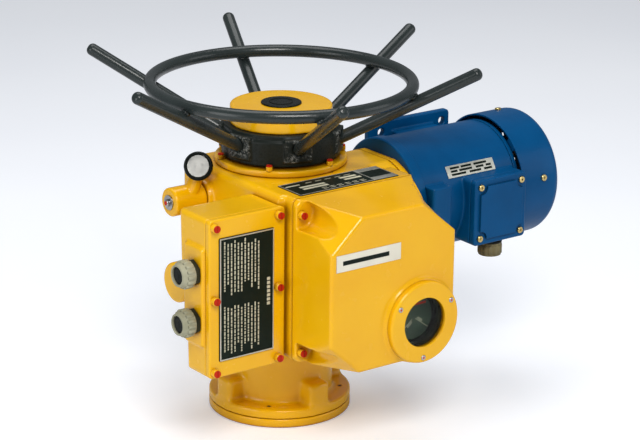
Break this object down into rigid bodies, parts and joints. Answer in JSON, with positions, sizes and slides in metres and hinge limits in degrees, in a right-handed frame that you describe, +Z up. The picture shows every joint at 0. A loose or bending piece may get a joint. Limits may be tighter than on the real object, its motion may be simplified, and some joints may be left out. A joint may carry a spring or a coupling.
{
  "type": "motorized valve actuator",
  "caption": "Multi-turn electric valve actuator with a cast gear housing, valve flange, top handwheel, declutch lever, indicator window, control box and side motor.",
  "frame": {"origin": "centre of the bottom mounting face of the valve flange, on the stem axis", "axes": "+Z up along the valve stem, +X along the motor axis away from the gearbox, -Y towards the indicator window and control cover"},
  "size_m": [0.5766, 0.4588, 0.4424],
  "materials": {
    "yellow_enamel": "gloss enamel",
    "blue_enamel": "gloss enamel",
    "black_cast": "painted black, rough casting",
    "wheel_tube": "dark gloss paint",
    "steel": "machined",
    "bronze": "machined",
    "yellow_screw": "gloss enamel",
    "brass_screw": "zinc plated",
    "red_plastic": "gloss",
    "black_plastic": "gloss",
    "grey_plastic": "satin",
    "rubber": "matt",
    "glass": "clear",
    "dial": "printed",
    "plate_black": "anodised, printed",
    "label_white": "satin",
    "insert_silver": "satin",
    "core_steel": "laminated"
  },
  "bodies": {
    "housing": {"base_plate": "yellow_enamel", "gear_housing": "yellow_enamel", "seat_ring": "yellow_enamel", "control_box": "yellow_enamel", "control_cover": "yellow_enamel", "indicator_cover": "yellow_enamel", "window_bezel": "yellow_enamel", "spring_housing": "yellow_enamel", "gear_case_cover": "yellow_enamel", "m5_cap_screws": "steel", "thrust_bearings": "steel", "bearing_nut": "steel", "ball_bearings": "steel", "torque_springs": "steel", "bezel_screws": "steel", "cover_screws": "yellow_screw", "screw_seal_plugs": "red_plastic", "cover_gaskets": "rubber", "window_glass": "glass", "counter_unit": "black_plastic", "limit_switches": "black_plastic", "terminal_blocks": "black_plastic", "warning_plate": "plate_black", "top_nameplate": "plate_black", "motor_nameplate": "plate_black", "front_label": "label_white", "gland_bodies": "grey_plastic", "gland_nuts": "grey_plastic", "motor_gland": "grey_plastic", "handwheel_bush": "bronze", "drive_endshield": "blue_enamel", "motor_frame": "blue_enamel", "rear_endshield": "blue_enamel", "fan_cowl": "blue_enamel", "terminal_lid": "blue_enamel", "motor_stator": "core_steel", "motor_cover_screws": "brass_screw"},
    "drive_sleeve": {"drive_sleeve": "steel", "stem_nut": "bronze"},
    "worm_wheel": {"worm_wheel": "bronze"},
    "clutch": {"clutch_ring": "steel"},
    "lever": {"declutch_lever": "yellow_enamel", "lever_shaft": "steel", "clutch_fork": "steel", "lever_end_screw": "steel", "lever_knob": "black_plastic", "knob_insert": "insert_silver"},
    "handwheel": {"handwheel_hub": "black_cast", "handwheel_spokes": "wheel_tube", "handwheel_ring": "wheel_tube", "stem_cap": "yellow_enamel", "stem_plug": "black_plastic", "handwheel_sleeve": "steel"},
    "worm": {"worm_shaft": "steel", "worm_spur_gear": "steel"},
    "rotor": {"motor_shaft": "steel", "motor_pinion": "steel", "motor_rotor": "core_steel", "cooling_fan": "black_plastic"},
    "indicator": {"indicator_dial": "dial"}
  },
  "joints": [
    {"name": "motor_spin", "type": "hinge", "parent": "housing", "child": "rotor", "pos_m": [0.2, -0.05, 0.258], "axis": [1, 0, 0], "continuous": true},
    {"name": "worm_spin", "type": "hinge", "parent": "housing", "child": "worm", "pos_m": [0, -0.05, 0.208], "axis": [1, 0, 0], "continuous": true},
    {"name": "wheel_spin", "type": "hinge", "parent": "housing", "child": "worm_wheel", "pos_m": [0, 0, 0.208], "axis": [0, 0, 1], "continuous": true},
    {"name": "sleeve_spin", "type": "hinge", "parent": "housing", "child": "drive_sleeve", "pos_m": [0, 0, 0.2], "axis": [0, 0, 1], "continuous": true},
    {"name": "dial_spin", "type": "hinge", "parent": "housing", "child": "indicator", "pos_m": [0.0505, -0.19, 0.1605], "axis": [0, -1, 0], "continuous": true},
    {"name": "handwheel_spin", "type": "hinge", "parent": "housing", "child": "handwheel", "pos_m": [0, 0, 0.34], "axis": [0, 0, 1], "continuous": true},
    {"name": "lever_turn", "type": "hinge", "parent": "housing", "child": "lever", "pos_m": [-0.1, 0.032, 0.276], "axis": [-1, 0, 0], "range_deg": [0, 30]},
    {"name": "clutch_slide", "type": "slide", "parent": "drive_sleeve", "child": "clutch", "axis": [0, 0, 1], "range_m": [0, 0.01656]}
  ],
  "couplings": [
    {"joint": "worm_spin", "follows": "motor_spin", "ratio": -0.66667},
    {"joint": "wheel_spin", "follows": "motor_spin", "ratio": 0.017544},
    {"joint": "sleeve_spin", "follows": "motor_spin", "ratio": 0.017544},
    {"joint": "dial_spin", "follows": "motor_spin", "ratio": 0.004386},
    {"joint": "clutch_slide", "follows": "lever_turn", "m_per_rad": 0.031636}
  ]
}
